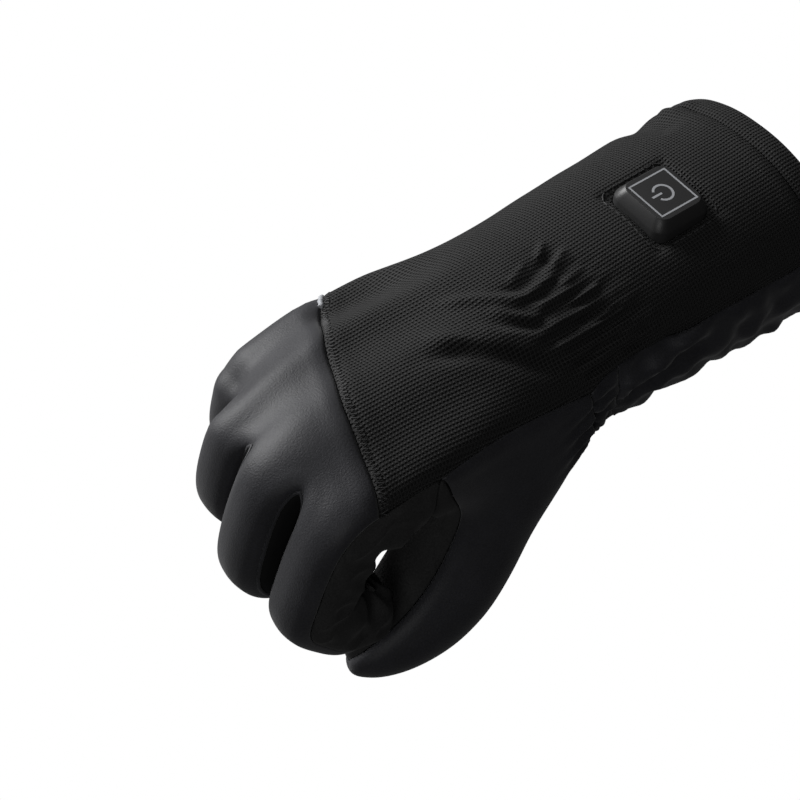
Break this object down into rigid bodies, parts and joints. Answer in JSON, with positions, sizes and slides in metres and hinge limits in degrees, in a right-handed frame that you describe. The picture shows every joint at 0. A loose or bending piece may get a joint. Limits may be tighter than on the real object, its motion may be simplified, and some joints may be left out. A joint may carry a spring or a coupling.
{
  "type": "heated glove",
  "caption": "Right-hand heated glove in a loose fist, with a long cuff, a gathered wrist and a raised power button on the back of the cuff.",
  "frame": {"origin": "the middle of the wrist, where the elastic gathers the glove", "axes": "+X from the wrist to the knuckles, +Y to the thumb's side, +Z out of the back of the hand"},
  "size_m": [0.2281, 0.0994, 0.1212],
  "materials": {
    "ribbed_knit": "matte ribbed knit",
    "softshell": "smooth softshell with a soft sheen",
    "suede": "brushed synthetic suede",
    "gusset": "dark stretch cloth",
    "rubber": "satin moulded rubber",
    "print": "pale grey print on the button",
    "thread": "black sewing thread"
  },
  "bodies": {
    "root": {"back_knit": "ribbed_knit", "finger_shell": "softshell", "palm_suede": "suede", "fourchette_index_middle": "gusset", "fourchette_middle_ring": "gusset", "fourchette_ring_little": "gusset", "thumb_back": "softshell", "thumb_front": "suede", "wrist_ruche": "softshell", "cuff_under": "softshell", "cuff_hem": "ribbed_knit", "button_cap": "rubber"}
  },
  "joints": []
}
